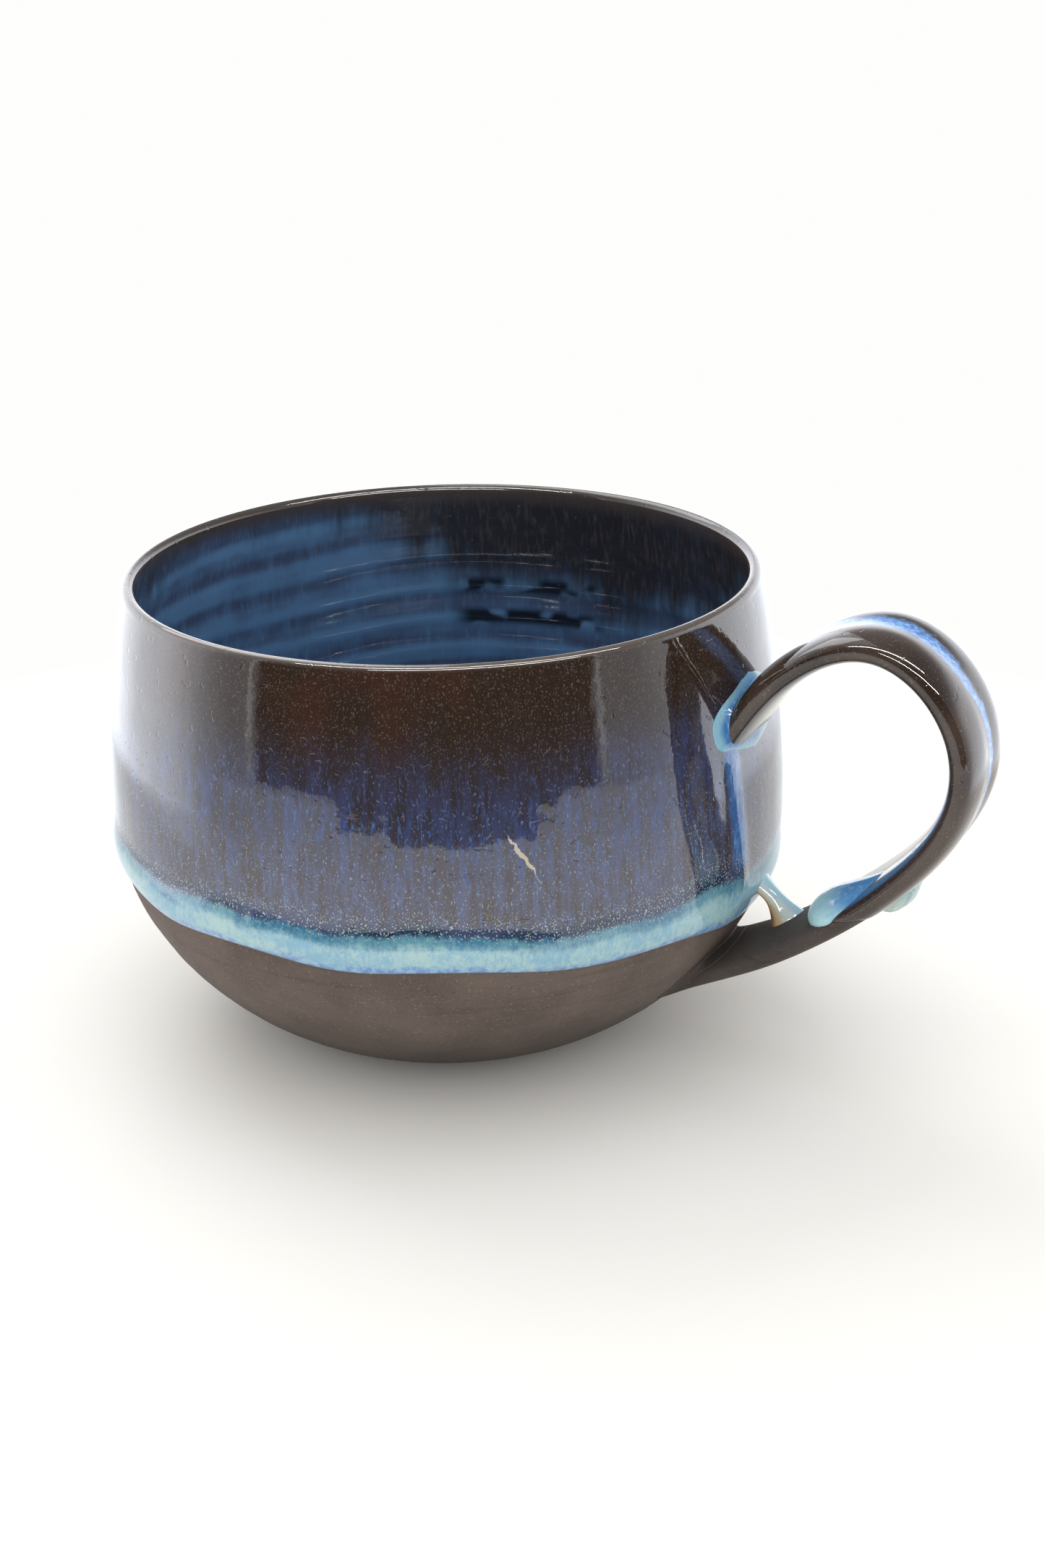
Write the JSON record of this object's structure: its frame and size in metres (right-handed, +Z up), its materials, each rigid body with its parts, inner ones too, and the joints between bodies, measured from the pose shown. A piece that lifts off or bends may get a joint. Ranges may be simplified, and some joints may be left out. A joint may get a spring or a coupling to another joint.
{
  "type": "shaving mug",
  "caption": "Wide hand-thrown stoneware mug with a round belly, small flat foot, pulled strap handle and running glaze with a thick rolled edge.",
  "frame": {"origin": "centre of the foot, on the surface that the mug stands on", "axes": "+Z up along the bowl's axis, +X through the handle"},
  "size_m": [0.1464, 0.1114, 0.076],
  "materials": {
    "bare_stoneware": "unglazed dark brown stoneware, fine grain",
    "handle_stoneware": "unglazed dark brown stoneware, smoothed",
    "slip": "unglazed dark brown slip",
    "liner_glaze": "glossy blue liner glaze with throwing rings",
    "outer_glaze": "glossy running glaze, dark brown at the lip breaking to speckled blue",
    "glaze_roll": "thick glossy turquoise glaze",
    "handle_glaze": "glossy dark brown glaze with a blue streak",
    "pooled_glaze": "thick glossy pale blue glaze",
    "bridge_glaze": "thin glossy glaze web, amber to pale blue"
  },
  "bodies": {
    "root": {"clay_body": "bare_stoneware", "handle": "handle_stoneware", "upper_slip": "slip", "lower_slip": "slip", "liner_glaze": "liner_glaze", "outer_glaze": "outer_glaze", "glaze_roll": "glaze_roll", "handle_glaze": "handle_glaze", "seam_glaze": "pooled_glaze", "inner_drip": "pooled_glaze", "outer_drip": "pooled_glaze", "glaze_bridge": "bridge_glaze"}
  },
  "joints": []
}
